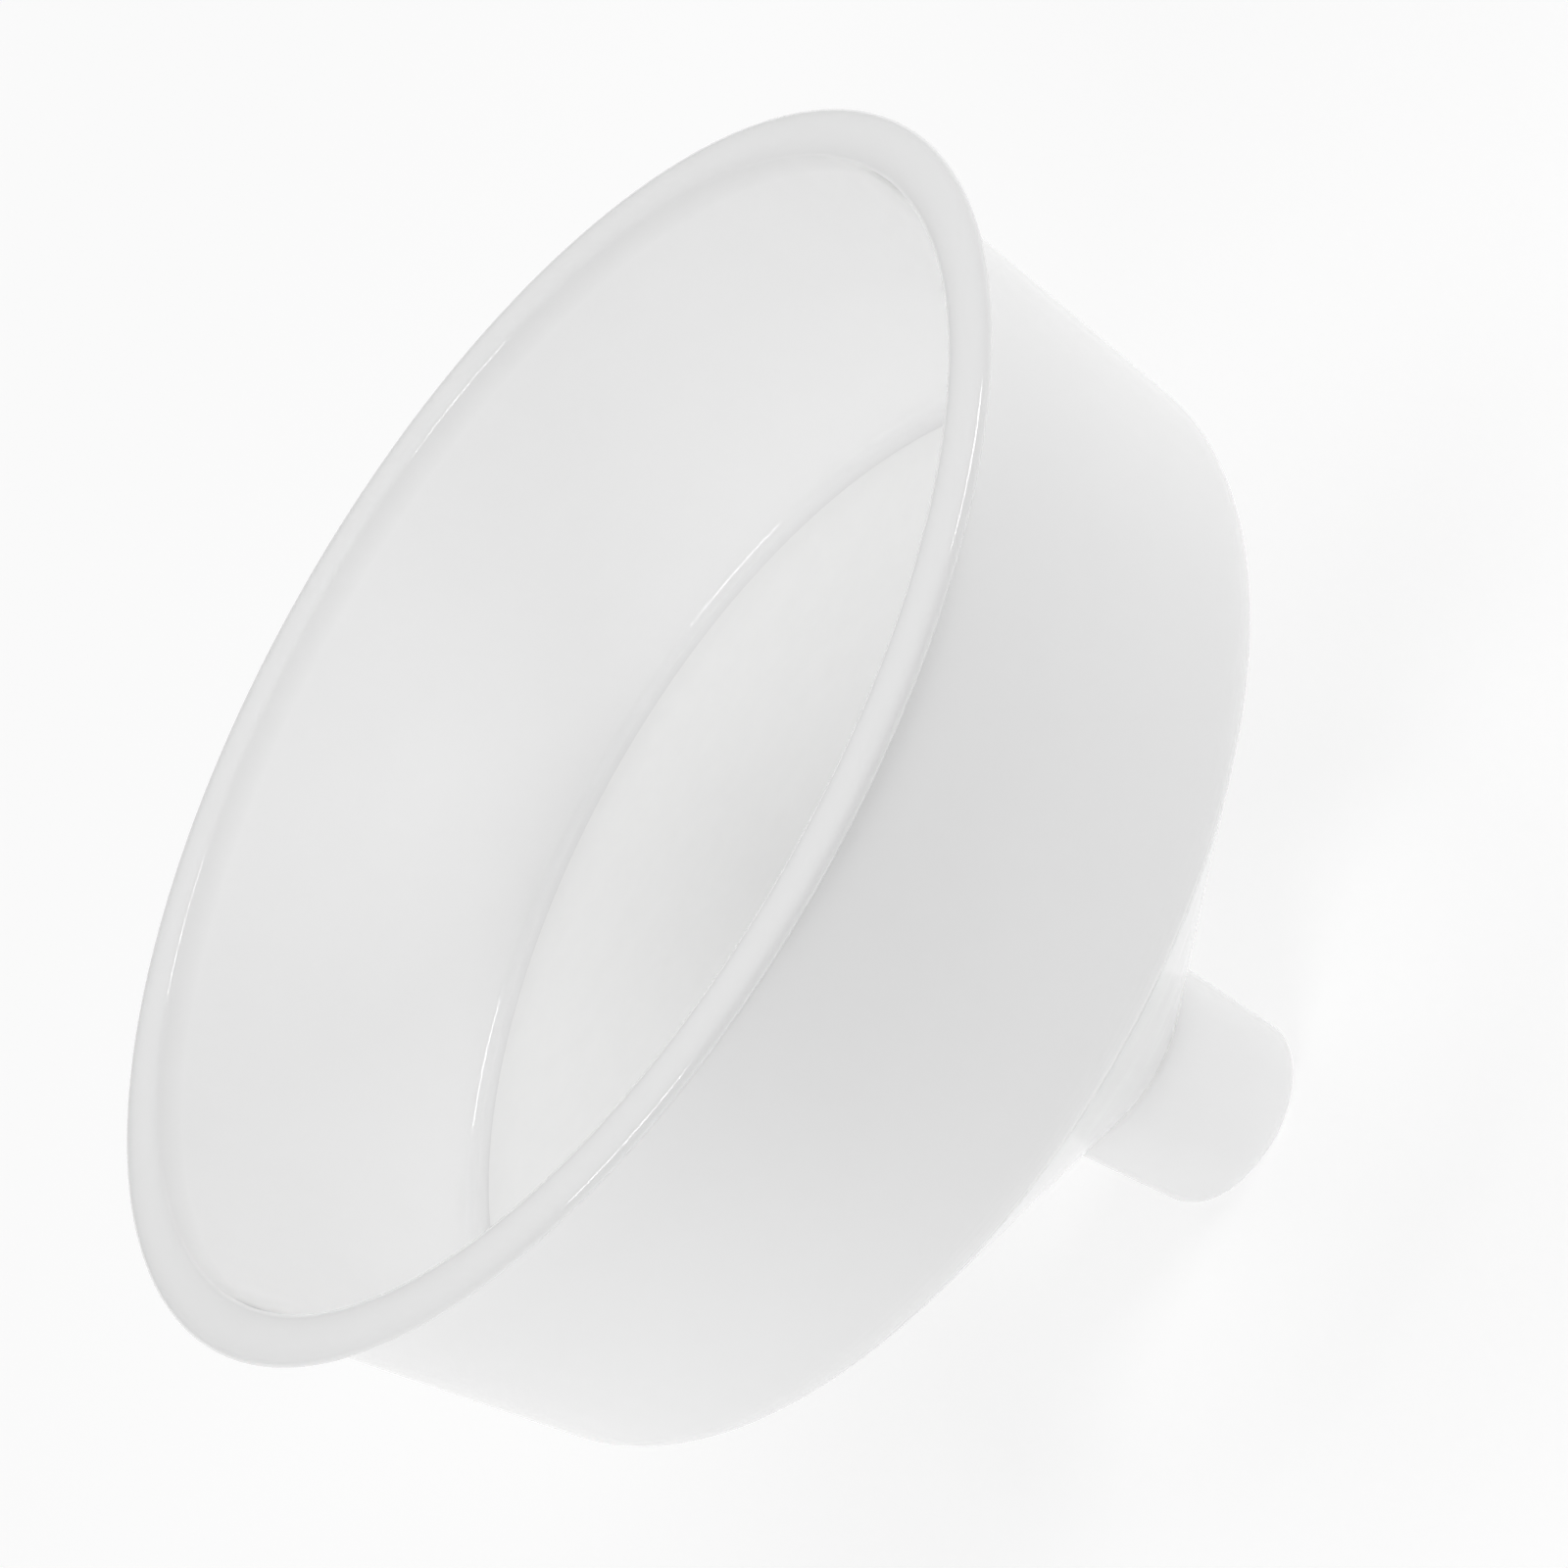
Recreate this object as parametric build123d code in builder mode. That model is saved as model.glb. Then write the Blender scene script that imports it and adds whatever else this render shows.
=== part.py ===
from build123d import *
import os
from math import cos, radians, tan

# A demountable Buchner funnel, millimetres, +Z up.
# The origin is the centre of the stem's tip, so the funnel stands on z = 0.
# Every moulding is a body of revolution about the Z axis, so its section is
# drawn on the XZ plane with X as the radius and Z as the height.

# Driving dimensions: the outside
total_height = 157.0
lip_width = 8.8               # the lip's section is an ellipse this wide, outward from the wall's inner face
lip_height = 4.4              # and this tall
wall_radius = 107.2           # outer radius of the wall at the lip's middle plane
wall_draft = 6.3              # degrees from vertical
wall = 2.7                    # wall thickness of the mouldings
shoulder_depth = 66.5         # from the lip's middle plane to the shoulder's sharp corner
shoulder_radius = 10.0
cone_slope = 36.0             # degrees from horizontal
stem_root_radius = 19.0       # where the cone meets the stem
stem_tip_radius = 17.4
stem_tip_rounding = 2.6
stem_root_fillet = 2.5

# Driving dimensions: the inside
floor_depth = 62.0            # from the lip's middle plane to the top of the plate
floor_corner = 2.0            # rounding where the wall's inner face meets the floor
plate_radius = 91.0
plate_thickness = 4.0
plate_gap = 0.2               # radial clearance between the plate and its recess
shelf_thickness = 3.5
collar_inner_radius = 82.0
collar_thickness = 2.5
collar_length = 3.7
collar_gap = 0.25
seal_width = 3.0
seal_depth = 2.0
seal_land = 2.1               # between the socket and the seal's groove
seal_rounding = 0.5
bore_radius = 13.0
bore_edge = 1.5               # rounding where the bore opens into the cone
bore_chamfer = 0.4            # at the stem's tip

# The perforations and the ribs under the plate
hole_radius = 1.25
hole_rings = 7
hole_pitch = 11.2             # ring k lies at k pitches and has 6 k holes
rib_thickness = 2.5
rib_depth = 3.5
rib_count = 6
ring_rib_gaps = (6.5, 3.5)    # ring ribs, in pitches, midway between two rings of holes

# The filter circle, which covers the plate and the joint around it
paper_radius = 92.5
paper_thickness = 0.25

# Worked-out heights and radii
lip_z = total_height - lip_height / 2
shoulder_z = lip_z - shoulder_depth
shoulder_corner = wall_radius - shoulder_depth * tan(radians(wall_draft))
plate_top = lip_z - floor_depth
seat_z = plate_top - plate_thickness
joint_z = seat_z - shelf_thickness
collar_outer = collar_inner_radius + collar_thickness
socket_radius = collar_outer + collar_gap
groove_inner = socket_radius + seal_land
groove_outer = groove_inner + seal_width
groove_z = joint_z - seal_depth
wall_across = wall / cos(radians(wall_draft))
cone_across = wall / cos(radians(cone_slope))


def wall_outer(z):
    """Outer radius of the drafted wall at a height."""
    return wall_radius - (lip_z - z) * tan(radians(wall_draft))


def wall_inner(z):
    """Inner radius of the drafted wall at a height."""
    return wall_outer(z) - wall_across


lip_center = wall_inner(lip_z) + lip_width / 2


def cone_outer(r):
    """Height of the cone's outer face at a radius."""
    return shoulder_z - (shoulder_corner - r) * tan(radians(cone_slope))


def cone_inner(r):
    """Height of the cone's inner face at a radius."""
    return cone_outer(r) + cone_across


def cone_radius(z):
    """Radius of the cone's outer face at a height."""
    return shoulder_corner - (shoulder_z - z) / tan(radians(cone_slope))


def corner(section, r, z):
    """The vertex of a section that lies nearest to a radius and a height."""
    return section.vertices().sort_by_distance((r, z, 0))[0]


# The bowl: lip, drafted wall, rounded shoulder, the plate's recess, shelf and collar
with BuildPart() as filter_bowl:
    with BuildSketch(Plane.XZ) as bowl_section:
        with BuildLine():
            Polyline(
                (wall_outer(lip_z), lip_z),
                (shoulder_corner, shoulder_z),
                (cone_radius(joint_z), joint_z),
                (collar_outer, joint_z),
                (collar_outer, joint_z - collar_length),
                (collar_inner_radius, joint_z - collar_length),
                (collar_inner_radius, seat_z),
                (plate_radius + plate_gap, seat_z),
                (plate_radius + plate_gap, plate_top),
                (wall_inner(plate_top), plate_top),
                (wall_inner(lip_z), lip_z),
                close=True,
            )
        make_face()
        fillet(corner(bowl_section, shoulder_corner, shoulder_z), shoulder_radius)
        fillet(corner(bowl_section, wall_inner(plate_top), plate_top), floor_corner)
        with Locations((lip_center, lip_z)):
            Ellipse(lip_width / 2, lip_height / 2)
    revolve(axis=Axis.Z)
filter_bowl.part.label = "filter_bowl"

# The outlet: a conical shell with a socket for the collar, a groove for the seal,
# and the stub stem with its bore
with BuildPart() as outlet_cone:
    with BuildSketch(Plane.XZ) as cone_section:
        with BuildLine():
            Polyline(
                (cone_radius(joint_z), joint_z),
                (stem_root_radius, cone_outer(stem_root_radius)),
                (stem_tip_radius, 0),
                (bore_radius, 0),
                (bore_radius, cone_inner(bore_radius)),
                (socket_radius, cone_inner(socket_radius)),
                (socket_radius, joint_z),
                (groove_inner, joint_z),
                (groove_inner, groove_z),
                (groove_outer, groove_z),
                (groove_outer, joint_z),
                close=True,
            )
        make_face()
        fillet(corner(cone_section, stem_tip_radius, 0), stem_tip_rounding)
        fillet(corner(cone_section, stem_root_radius, cone_outer(stem_root_radius)), stem_root_fillet)
        fillet(corner(cone_section, bore_radius, cone_inner(bore_radius)), bore_edge)
        chamfer(corner(cone_section, bore_radius, 0), bore_chamfer)
    revolve(axis=Axis.Z)
outlet_cone.part.label = "outlet_cone"

# The seal: a rubber ring of rectangular section that fills its groove
with BuildPart() as seal_ring:
    with BuildSketch(Plane.XZ):
        with Locations(((groove_inner + groove_outer) / 2, joint_z - seal_depth / 2)):
            RectangleRounded(seal_width, seal_depth, seal_rounding)
    revolve(axis=Axis.Z)
seal_ring.part.label = "seal_ring"

# The plate: a perforated disc with ribs under it
rib_reach = ring_rib_gaps[0] * hole_pitch
with BuildPart() as filter_plate:
    with BuildSketch(Plane.XY.offset(seat_z)):
        Circle(plate_radius)
    extrude(amount=plate_thickness)
    with BuildSketch(Plane.XY.offset(seat_z)):
        for gap in ring_rib_gaps:
            Circle(gap * hole_pitch + rib_thickness / 2)
            Circle(gap * hole_pitch - rib_thickness / 2, mode=Mode.SUBTRACT)
        with PolarLocations(0, rib_count // 2, angular_range=180):
            Rectangle(2 * rib_reach, rib_thickness)
    extrude(amount=-rib_depth)
    with BuildSketch(Plane.XY.offset(plate_top)):
        for ring in range(1, hole_rings + 1):
            half_step = 180 / (rib_count * ring)
            with PolarLocations(ring * hole_pitch, rib_count * ring, start_angle=half_step):
                Circle(hole_radius)
    extrude(amount=-plate_thickness, mode=Mode.SUBTRACT)
filter_plate.part.label = "filter_plate"

# The filter circle, flat on the plate
with BuildPart() as filter_paper:
    with BuildSketch(Plane.XY.offset(plate_top)):
        Circle(paper_radius)
    extrude(amount=paper_thickness)
filter_paper.part.label = "filter_paper"

os.makedirs("parts", exist_ok=True)
for piece in (filter_bowl, outlet_cone, seal_ring, filter_plate, filter_paper):
    export_step(piece.part, f"parts/{piece.part.label}.step")
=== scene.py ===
import math

import bmesh
import bpy
from mathutils import Matrix, Vector


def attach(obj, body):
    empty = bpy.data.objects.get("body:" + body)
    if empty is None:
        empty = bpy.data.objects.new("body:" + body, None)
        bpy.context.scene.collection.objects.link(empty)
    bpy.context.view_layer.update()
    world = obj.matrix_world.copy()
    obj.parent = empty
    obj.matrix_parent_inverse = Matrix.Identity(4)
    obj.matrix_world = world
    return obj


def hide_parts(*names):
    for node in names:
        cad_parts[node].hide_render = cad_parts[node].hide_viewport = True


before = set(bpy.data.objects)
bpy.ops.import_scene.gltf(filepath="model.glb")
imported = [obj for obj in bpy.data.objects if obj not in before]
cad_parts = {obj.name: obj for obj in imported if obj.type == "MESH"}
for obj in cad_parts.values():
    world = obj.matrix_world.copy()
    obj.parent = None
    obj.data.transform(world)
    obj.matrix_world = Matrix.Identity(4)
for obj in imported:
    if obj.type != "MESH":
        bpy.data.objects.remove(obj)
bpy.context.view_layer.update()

# Sizes in millimetres, as the part has them. Meshes are made in metres.
MM = 0.001
TOTAL_HEIGHT = 157.0
LIP_WIDTH = 8.8
LIP_HEIGHT = 4.4
WALL_RADIUS = 107.2
WALL_DRAFT = math.tan(math.radians(6.3))
WALL = 2.7
SHOULDER_DEPTH = 66.5
SHOULDER_RADIUS = 10.0
CONE_SLOPE = math.radians(36.0)
STEM_ROOT = 19.0
STEM_TIP = 17.4
FLOOR_DEPTH = 62.0
FLOOR_CORNER = 2.0
PLATE_RADIUS = 91.0
PLATE = 4.0
PLATE_GAP = 0.2
SHELF = 3.5
COLLAR_INNER = 82.0
COLLAR_OUTER = 84.5
COLLAR_LENGTH = 3.7
SOCKET = 84.75
GROOVE_INNER = 86.85
GROOVE_OUTER = 89.85
GROOVE_DEPTH = 2.0
BORE = 13.0

LIP_Z = TOTAL_HEIGHT - LIP_HEIGHT / 2
SHOULDER_Z = LIP_Z - SHOULDER_DEPTH
SHOULDER_CORNER = WALL_RADIUS - SHOULDER_DEPTH * WALL_DRAFT
PLATE_TOP = LIP_Z - FLOOR_DEPTH
SEAT_Z = PLATE_TOP - PLATE
JOINT_Z = SEAT_Z - SHELF
WALL_ACROSS = WALL * math.sqrt(1 + WALL_DRAFT ** 2)
CONE_ACROSS = WALL / math.cos(CONE_SLOPE)

LIP_START, LIP_END = 176.8, -100    # where the lip's section leaves the wall, in degrees
SEGMENTS = 288                # round the axis
ARC_STEP = math.radians(9)    # along a rounded edge

# How far edges are rounded. The part has most of them sharp.
EDGE = 0.35
FINE_EDGE = 0.2               # where two pieces meet
SOCKET_EDGE = 0.3
COLLAR_EDGE = 0.6
SEAL_EDGE = 0.7
LIP_ROOT = 0.8
STEM_FILLET = 2.5             # between the cone and the stem
TIP_EDGE = 2.6                # the outside of the stem's tip
BORE_END = 0.4                # the bore at the tip
BORE_TOP = 1.5                # the bore in the cone

PLASTIC_TONE = 0.93
PLATE_TONE = 0.92
RIM_PAINTED_SHADE = 0.12               # painted shade: how much darker the lip's colour is made


def wall_outer(z):
    """Outer radius of the drafted wall at a height."""
    return WALL_RADIUS - (LIP_Z - z) * WALL_DRAFT


def wall_inner(z):
    """Inner radius of the drafted wall at a height."""
    return wall_outer(z) - WALL_ACROSS


LIP_CENTER = wall_inner(LIP_Z) + LIP_WIDTH / 2


def cone_outer(r):
    """Height of the cone's outer face at a radius."""
    return SHOULDER_Z - (SHOULDER_CORNER - r) * math.tan(CONE_SLOPE)


def cone_inner(r):
    """Height of the cone's inner face at a radius."""
    return cone_outer(r) + CONE_ACROSS


def cone_radius(z):
    """Radius of the cone's outer face at a height."""
    return SHOULDER_CORNER - (SHOULDER_Z - z) / math.tan(CONE_SLOPE)


# Sections and the bodies turned from them

def rounded(corners):
    """The points of a closed section from its corners (r, z, rounding), with arcs where rounded."""
    points = []
    for i, (r, z, rounding) in enumerate(corners):
        here = Vector((r, z))
        back = Vector(corners[i - 1][:2]) - here
        ahead = Vector(corners[(i + 1) % len(corners)][:2]) - here
        if rounding == 0:
            points.append(here)
            continue
        half = back.angle(ahead) / 2
        back.normalize()
        ahead.normalize()
        center = here + (back + ahead).normalized() * rounding / math.sin(half)
        start = here + back * rounding / math.tan(half) - center
        turn = start.angle_signed(here + ahead * rounding / math.tan(half) - center)
        steps = max(3, math.ceil(abs(turn) / ARC_STEP))
        for k in range(steps + 1):
            points.append(center + Matrix.Rotation(-turn * k / steps, 2) @ start)
    return points


def supported(points, near=0.25, far=6.0):
    """Adds points on long straight runs: one near each end, to hold the shading, and more between."""
    result = []
    for i, a in enumerate(points):
        b = points[(i + 1) % len(points)]
        length = (b - a).length
        result.append(a)
        if length > 4 * near:
            count = max(1, round(length / far))
            stops = [near / length] + [k / count for k in range(1, count)] + [1 - near / length]
            result += [a.lerp(b, t) for t in stops]
    return result


def turned(name, points):
    """A smooth closed mesh made by turning a closed section (r, z) about the Z axis."""
    bm = bmesh.new()
    rings = []
    for s in range(SEGMENTS):
        a = 2 * math.pi * s / SEGMENTS
        cos_a, sin_a = math.cos(a), math.sin(a)
        ring = [bm.verts.new((p.x * MM * cos_a, p.x * MM * sin_a, p.y * MM)) for p in points]
        rings.append(ring)
    for s, ring in enumerate(rings):
        after = rings[(s + 1) % SEGMENTS]
        for i in range(len(points)):
            j = (i + 1) % len(points)
            bm.faces.new((ring[i], after[i], after[j], ring[j])).smooth = True
    return finished(name, bm)


def finished(name, bm):
    """An object from a mesh under construction."""
    bmesh.ops.recalc_face_normals(bm, faces=bm.faces[:])
    mesh = bpy.data.meshes.new(name)
    bm.to_mesh(mesh)
    bm.free()
    piece = bpy.data.objects.new(name, mesh)
    bpy.context.scene.collection.objects.link(piece)
    return piece


def lip_section(start, end, count=40):
    """Points of the lip's elliptical section from one angle to another, in degrees."""
    points = []
    for k in range(count + 1):
        a = math.radians(start + (end - start) * k / count)
        r = LIP_CENTER + LIP_WIDTH / 2 * math.cos(a)
        z = LIP_Z + LIP_HEIGHT / 2 * math.sin(a)
        points.append((r, z, 0))
    return points


def bowl_section():
    """Down the outside of the bowl, in under its collar, and up its inside to the lip."""
    outer_z = LIP_Z - LIP_HEIGHT / 2
    corners = [
        (wall_outer(outer_z), outer_z, LIP_ROOT),
        (SHOULDER_CORNER, SHOULDER_Z, SHOULDER_RADIUS),
        (cone_radius(JOINT_Z), JOINT_Z, FINE_EDGE),
        (COLLAR_OUTER, JOINT_Z, SOCKET_EDGE),
        (COLLAR_OUTER, JOINT_Z - COLLAR_LENGTH, COLLAR_EDGE),
        (COLLAR_INNER, JOINT_Z - COLLAR_LENGTH, COLLAR_EDGE),
        (COLLAR_INNER, SEAT_Z, EDGE),
        (PLATE_RADIUS + PLATE_GAP, SEAT_Z, FINE_EDGE),
        (PLATE_RADIUS + PLATE_GAP, PLATE_TOP, EDGE),
        (wall_inner(PLATE_TOP), PLATE_TOP, FLOOR_CORNER),
    ]
    return supported(rounded(corners + lip_section(LIP_START, LIP_END)))


def cone_section():
    """Down the outside of the cone and its stem, up the bore, and out to the seal's groove."""
    corners = [
        (cone_radius(JOINT_Z), JOINT_Z, FINE_EDGE),
        (STEM_ROOT, cone_outer(STEM_ROOT), STEM_FILLET),
        (STEM_TIP, 0, TIP_EDGE),
        (BORE, 0, BORE_END),
        (BORE, cone_inner(BORE), BORE_TOP),
        (SOCKET, cone_inner(SOCKET), SOCKET_EDGE),
        (SOCKET, JOINT_Z, EDGE),
        (GROOVE_INNER, JOINT_Z, FINE_EDGE),
        (GROOVE_INNER, JOINT_Z - GROOVE_DEPTH, FINE_EDGE),
        (GROOVE_OUTER, JOINT_Z - GROOVE_DEPTH, FINE_EDGE),
        (GROOVE_OUTER, JOINT_Z, FINE_EDGE),
    ]
    return supported(rounded(corners))


def seal_section():
    """A rounded rectangle that fills the groove."""
    corners = [(r, z, SEAL_EDGE) for r, z in (
        (GROOVE_INNER, JOINT_Z - GROOVE_DEPTH),
        (GROOVE_OUTER, JOINT_Z - GROOVE_DEPTH),
        (GROOVE_OUTER, JOINT_Z),
        (GROOVE_INNER, JOINT_Z),
    )]
    return supported(rounded(corners))


# Materials

def material(name, color, roughness):
    """A material with its shader, and short ways to add and link nodes."""
    mat = bpy.data.materials.new(name)
    mat.use_nodes = True
    nodes, links = mat.node_tree.nodes, mat.node_tree.links
    shader = nodes["Principled BSDF"]
    shader.inputs["Base Color"].default_value = (*color, 1)
    shader.inputs["Roughness"].default_value = roughness
    return mat, nodes, links, shader


def noise_node(nodes, links, scale, detail, roughness=0.5):
    """Noise in the object's own coordinates, with its scale in features a metre."""
    place = nodes.new("ShaderNodeTexCoord")
    texture = nodes.new("ShaderNodeTexNoise")
    texture.inputs["Scale"].default_value = scale
    texture.inputs["Detail"].default_value = detail
    texture.inputs["Roughness"].default_value = roughness
    links.new(place.outputs["Object"], texture.inputs["Vector"])
    return texture


def coordinate(nodes, links, axis):
    """One of the object's own coordinates, in metres."""
    place = nodes.new("ShaderNodeTexCoord")
    split = nodes.new("ShaderNodeSeparateXYZ")
    links.new(place.outputs["Object"], split.inputs["Vector"])
    return split.outputs[axis]


def ranged(nodes, links, source, low, high, start=0.0, end=1.0):
    """Maps a value from start..end to low..high."""
    node = nodes.new("ShaderNodeMapRange")
    node.inputs["From Min"].default_value = start
    node.inputs["From Max"].default_value = end
    node.inputs["To Min"].default_value = low
    node.inputs["To Max"].default_value = high
    links.new(source, node.inputs["Value"])
    return node.outputs["Result"]


def cloudy(nodes, links, source, dark, light, start, end):
    """Turns a noise into a slow change between two colours."""
    ramp = nodes.new("ShaderNodeValToRGB")
    for element, color, position in zip(ramp.color_ramp.elements, (dark, light), (start, end)):
        element.position = position
        element.color = (*color, 1)
    links.new(source.outputs["Fac"], ramp.inputs["Fac"])
    return ramp.outputs["Color"]


def bumped(nodes, links, source, strength, distance, under=None):
    """Turns a noise into a bump, on top of another one if that is given."""
    bump = nodes.new("ShaderNodeBump")
    bump.inputs["Strength"].default_value = strength
    bump.inputs["Distance"].default_value = distance
    links.new(source.outputs["Fac"], bump.inputs["Height"])
    if under:
        links.new(under, bump.inputs["Normal"])
    return bump.outputs["Normal"]


def moulded_plastic(name, tone):
    """Glossy white polypropylene: faint cloudiness, uneven gloss, orange peel, fine scuffs, and
    a lip painted a little greyer as painted shade."""
    mat, nodes, links, shader = material(name, (tone, tone, tone), 0.12)
    shader.inputs["IOR"].default_value = 1.49
    shader.inputs["Subsurface Weight"].default_value = 0.6
    shader.inputs["Subsurface Radius"].default_value = (1, 1, 1)
    shader.inputs["Subsurface Scale"].default_value = 0.008
    cloud = noise_node(nodes, links, scale=28, detail=3)
    dark, light = (tone - 0.012,) * 3, (tone + 0.006,) * 3
    color = cloudy(nodes, links, cloud, dark, light, start=0.3, end=0.7)
    # Painted shade: the colour turns to a darker grey from just under the lip up to its middle, and
    # stays dark above.
    height = coordinate(nodes, links, "Z")
    lip_shade_mask = ranged(nodes, links, height, low=0, high=1, start=(LIP_Z - LIP_HEIGHT) * MM, end=LIP_Z * MM)
    painted_shade_mix = nodes.new("ShaderNodeMix")
    painted_shade_mix.data_type = "RGBA"
    links.new(lip_shade_mask, painted_shade_mix.inputs["Factor"])
    links.new(color, painted_shade_mix.inputs["A"])
    painted_shade_mix.inputs["B"].default_value = (tone - RIM_PAINTED_SHADE,) * 3 + (1,)
    links.new(painted_shade_mix.outputs["Result"], shader.inputs["Base Color"])
    gloss = noise_node(nodes, links, scale=60, detail=5, roughness=0.6)
    sheen = ranged(nodes, links, gloss.outputs["Fac"], low=0.05, high=0.08, start=0.35, end=0.65)
    links.new(sheen, shader.inputs["Roughness"])
    peel = noise_node(nodes, links, scale=350, detail=2)
    scuff = noise_node(nodes, links, scale=2600, detail=4, roughness=0.7)
    peeled = bumped(nodes, links, peel, strength=0.012, distance=0.2 * MM)
    scuffed = bumped(nodes, links, scuff, strength=0.012, distance=0.02 * MM, under=peeled)
    links.new(scuffed, shader.inputs["Normal"])
    return mat


def seal_rubber():
    """Soft light grey rubber with a matt, slightly dusty skin."""
    mat, nodes, links, shader = material("seal_rubber", (0.55, 0.55, 0.54), 0.6)
    dust = noise_node(nodes, links, scale=400, detail=4)
    matt = ranged(nodes, links, dust.outputs["Fac"], low=0.5, high=0.72)
    links.new(matt, shader.inputs["Roughness"])
    skin = bumped(nodes, links, dust, strength=0.2, distance=0.05 * MM)
    links.new(skin, shader.inputs["Normal"])
    return mat


def filter_paper_material():
    """White cellulose: matted fibres as bump, with faint cloudy variation of its white."""
    mat, nodes, links, shader = material("filter_paper", (0.90, 0.90, 0.895), 0.85)
    shader.inputs["Specular IOR Level"].default_value = 0.2
    cloud = noise_node(nodes, links, scale=150, detail=6, roughness=0.65)
    dark, light = (0.896, 0.896, 0.892), (0.908, 0.908, 0.904)
    color = cloudy(nodes, links, cloud, dark, light, start=0.35, end=0.65)
    links.new(color, shader.inputs["Base Color"])
    fibre = noise_node(nodes, links, scale=1800, detail=8, roughness=0.75)
    fibre.inputs["Distortion"].default_value = 1.5
    felt = bumped(nodes, links, fibre, strength=0.25, distance=0.04 * MM)
    links.new(felt, shader.inputs["Normal"])
    return mat


def coat_with(piece, mat):
    piece.data.materials.clear()
    piece.data.materials.append(mat)


# The pieces

def make_pieces():
    plastic = moulded_plastic("bowl_plastic", PLASTIC_TONE)
    parts = (
        ("bowl_moulding", bowl_section(), "filter_bowl", "bowl", "bowl_plastic", plastic),
        ("cone_moulding", cone_section(), "outlet_cone", "outlet", "cone_plastic", plastic),
        ("seal_band", seal_section(), "seal_ring", "outlet", "seal_rubber", seal_rubber()),
    )
    # Each piece takes the place of a CAD node, whose body it rides on.
    for name, section, node, body, slot, mat in parts:
        piece = turned(name, section)
        coat_with(piece, mat)
        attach(piece, body)
        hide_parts(node)
    coat_with(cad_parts["filter_plate"], moulded_plastic("plate_plastic", PLATE_TONE))
    coat_with(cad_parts["filter_paper"], filter_paper_material())


# The camera: it looks down on the mouth, rolled so that the stem points down to the right

def direction(azimuth, elevation):
    """A direction by its azimuth from the funnel's front and its elevation, in degrees."""
    a, e = math.radians(azimuth), math.radians(elevation)
    return Vector((math.sin(a) * math.cos(e), -math.cos(a) * math.cos(e), math.sin(e)))


def facing(target, away, distance):
    """A place at a distance from a target in a direction, turned to look at it."""
    look = away.to_track_quat("Z", "Y").to_matrix().to_4x4()
    return Matrix.Translation(target + away * distance) @ look


def make_camera():
    elevation = 27.09
    roll = math.radians(60.15)
    distance = 0.8715
    aim = Vector((0.01153, 0, 0.10892))
    data = bpy.data.cameras.new("camera")
    data.lens = 120.4
    data.sensor_width = 36
    data.clip_end = 50
    camera = bpy.data.objects.new("camera", data)
    rolled = Matrix.Rotation(-roll, 4, "Z")
    camera.matrix_world = facing(aim, direction(0, elevation), distance) @ rolled
    bpy.context.scene.collection.objects.link(camera)
    bpy.context.scene.camera = camera


# The stage: a pale floor, a pale room, two soft boxes and two lamps that fill the shadows

def make_floor():
    """A wide floor with a glow of its own that grows from the camera's side towards the back."""
    bm = bmesh.new()
    bmesh.ops.create_grid(bm, x_segments=1, y_segments=1, size=12)
    floor = finished("floor", bm)
    mat, nodes, links, shader = material("floor", (0.5, 0.5, 0.5), 0.9)
    depth = coordinate(nodes, links, "Y")
    glow = ranged(nodes, links, depth, low=0.10, high=0.53, start=-0.30, end=-0.14)
    glow.node.interpolation_type = "SMOOTHSTEP"
    links.new(glow, shader.inputs["Emission Strength"])
    shader.inputs["Emission Color"].default_value = (1, 1, 1, 1)
    coat_with(floor, mat)


def soft_box(name, azimuth, elevation, distance, width, height, power, reflected=True):
    """A rectangular lamp, aimed at the funnel. One that isn't reflected leaves no highlight."""
    data = bpy.data.lights.new(name, "AREA")
    data.shape = "RECTANGLE"
    data.size = width
    data.size_y = height
    data.energy = power
    lamp = bpy.data.objects.new(name, data)
    lamp.visible_glossy = reflected
    middle = Vector((0, 0, TOTAL_HEIGHT * MM / 2))
    lamp.matrix_world = facing(middle, direction(azimuth, elevation), distance)
    bpy.context.scene.collection.objects.link(lamp)


def make_light():
    world = bpy.data.worlds.new("room")
    world.use_nodes = True
    room = world.node_tree.nodes["Background"]
    room.inputs["Color"].default_value = (1, 1, 1, 1)
    room.inputs["Strength"].default_value = 0.43
    bpy.context.scene.world = world
    box = {"elevation": 27, "distance": 1.5, "width": 0.72, "height": 0.18, "power": 4.7}
    fill = {"distance": 1.6, "width": 1.2, "reflected": False}
    soft_box("soft_box_right", azimuth=72, **box)
    soft_box("soft_box_left", azimuth=-48, **box)
    soft_box("fill_top", azimuth=0, elevation=89, height=1.2, power=7.5, **fill)
    soft_box("fill_back", azimuth=180, elevation=25, height=0.6, power=3, **fill)
    bpy.context.scene.view_settings.view_transform = "Standard"


make_camera()
make_pieces()
make_floor()
make_light()
